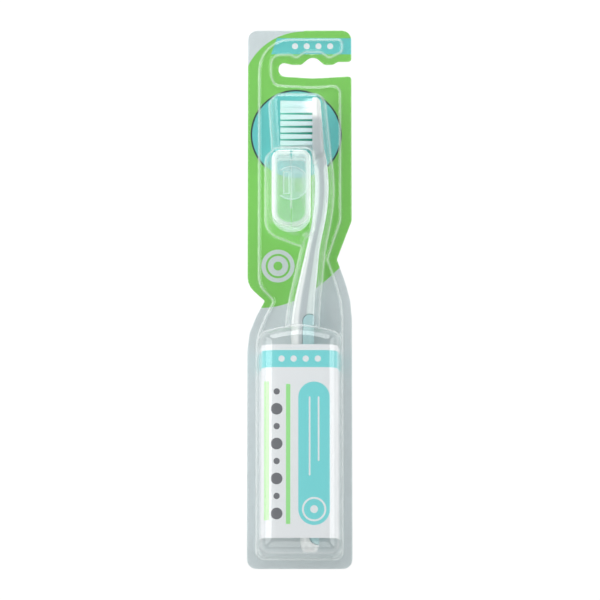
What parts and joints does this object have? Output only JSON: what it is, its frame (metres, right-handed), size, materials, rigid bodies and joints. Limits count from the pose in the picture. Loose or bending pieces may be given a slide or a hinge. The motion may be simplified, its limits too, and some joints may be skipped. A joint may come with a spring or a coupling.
{
  "type": "carded toothbrush",
  "caption": "Manual toothbrush and hinged travel cap in a clear blister on a waisted hang card, with a curved paper insert around the handle.",
  "frame": {"origin": "centre of the pack's outline, on the back face of the card", "axes": "+X across the pack to the open end of the hang slot, +Y along the brush to its head and the hang slot, +Z out of the front of the card"},
  "size_m": [0.044, 0.2292, 0.0224],
  "materials": {
    "printed_board": "printed coated board",
    "clear_sheet": "clear thermoformed sheet",
    "printed_paper": "printed white paper",
    "clear_handle": "clear moulded plastic",
    "soft_grip": "soft overmoulded grip",
    "white_bristle": "white nylon filament",
    "teal_bristle": "teal nylon filament",
    "anchor_brass": "stamped anchor plate",
    "cap_plastic": "natural translucent plastic"
  },
  "bodies": {
    "card": {"backing_card": "printed_board"},
    "blister": {"blister_shell": "clear_sheet", "label_insert": "printed_paper"},
    "brush": {"brush_body": "clear_handle", "brush_back_grip": "soft_grip", "tufts_front_row": "white_bristle", "tufts_rear_row": "white_bristle", "tufts_inner_rows": "teal_bristle", "tufts_toe": "white_bristle", "anchor_front_1": "anchor_brass", "anchor_front_2": "anchor_brass", "anchor_front_3": "anchor_brass", "anchor_front_4": "anchor_brass", "anchor_front_5": "anchor_brass", "anchor_front_6": "anchor_brass", "anchor_rear_1": "anchor_brass", "anchor_rear_2": "anchor_brass", "anchor_rear_3": "anchor_brass", "anchor_rear_4": "anchor_brass", "anchor_rear_5": "anchor_brass", "anchor_rear_6": "anchor_brass", "anchor_inner_1": "anchor_brass", "anchor_inner_2": "anchor_brass", "anchor_inner_3": "anchor_brass", "anchor_inner_4": "anchor_brass", "anchor_inner_5": "anchor_brass", "anchor_inner_6": "anchor_brass", "anchor_inner_7": "anchor_brass", "anchor_inner_8": "anchor_brass", "anchor_inner_9": "anchor_brass", "anchor_inner_10": "anchor_brass", "anchor_toe_1": "anchor_brass", "anchor_toe_2": "anchor_brass", "anchor_toe_3": "anchor_brass"},
    "cap": {"cap_right_shell": "cap_plastic", "cap_hinge_web": "cap_plastic"},
    "cap_lid": {"cap_left_shell": "cap_plastic"}
  },
  "joints": [
    {"name": "blister_peel", "type": "hinge", "parent": "card", "child": "blister", "pos_m": [0, 0.11455, 0.0005], "axis": [-1, 0, 0], "range_deg": [0, 120]},
    {"name": "brush_lift", "type": "slide", "parent": "card", "child": "brush", "axis": [0, 0, 1], "range_m": [0, 0.021]},
    {"name": "cap_lift", "type": "slide", "parent": "card", "child": "cap", "axis": [0, 0, 1], "range_m": [0, 0.021]},
    {"name": "cap_open", "type": "hinge", "parent": "cap", "child": "cap_lid", "pos_m": [-0.00355, 0.04345, 0.0206], "axis": [0, 1, 0], "range_deg": [0, 102.5]}
  ],
  "couplings": [
    {"joint": "brush_lift", "follows": "blister_peel", "m_per_rad": 0.01},
    {"joint": "cap_lift", "follows": "blister_peel", "m_per_rad": 0.01},
    {"joint": "cap_open", "follows": "blister_peel", "ratio": 0.85}
  ]
}
